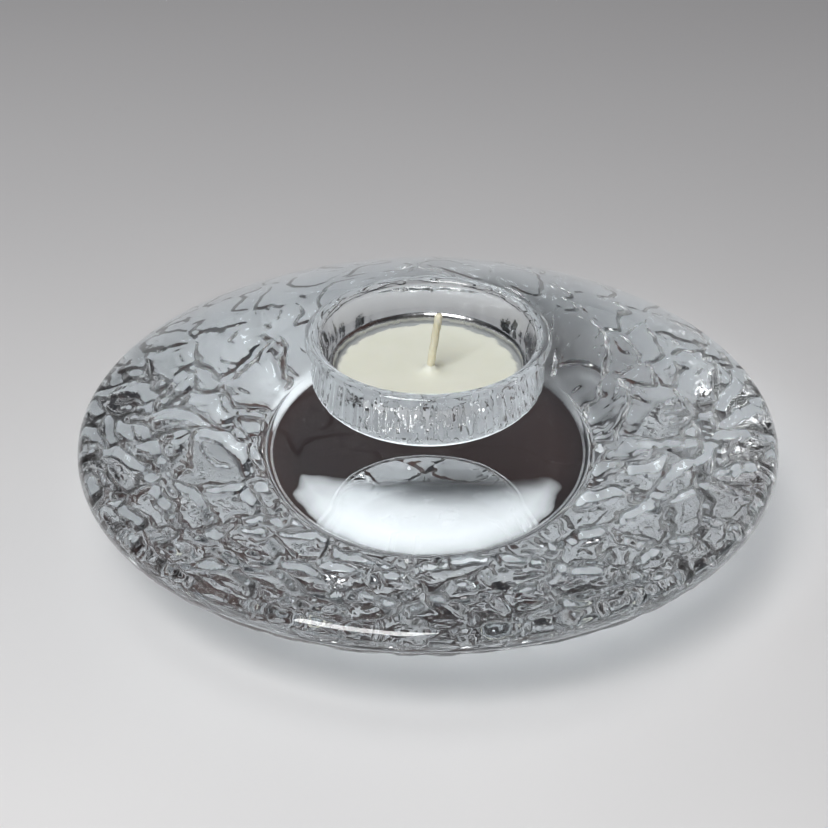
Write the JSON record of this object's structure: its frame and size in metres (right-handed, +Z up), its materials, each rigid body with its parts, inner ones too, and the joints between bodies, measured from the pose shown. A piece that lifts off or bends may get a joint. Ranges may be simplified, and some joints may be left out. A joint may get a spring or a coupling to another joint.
{
  "type": "tealight holder",
  "caption": "Round tealight holder: a thick clear glass disc, smooth and domed above, relief below, with a lipped well that holds a tealight in an aluminium cup.",
  "frame": {"origin": "middle of the foot, on the surface that the holder stands on", "axes": "+Z up along the axis of the disc and of the well; -Y is the side towards a person who looks at it; +X to their right"},
  "size_m": [0.135, 0.135, 0.0465],
  "materials": {
    "glass": "clear, fire polished",
    "aluminium": "pressed thin sheet, bright",
    "wax": "paraffin wax, smooth, slightly translucent",
    "cotton": "braided cotton soaked in wax",
    "tinplate": "tin-plated steel sheet"
  },
  "bodies": {
    "holder": {"glass_holder": "glass"},
    "tealight": {"tealight_cup": "aluminium", "wax": "wax", "wick": "cotton", "wick_sustainer": "tinplate"}
  },
  "joints": [
    {"name": "tealight_lift", "type": "slide", "parent": "holder", "child": "tealight", "axis": [0, 0, 1], "range_m": [0, 0.04]}
  ]
}
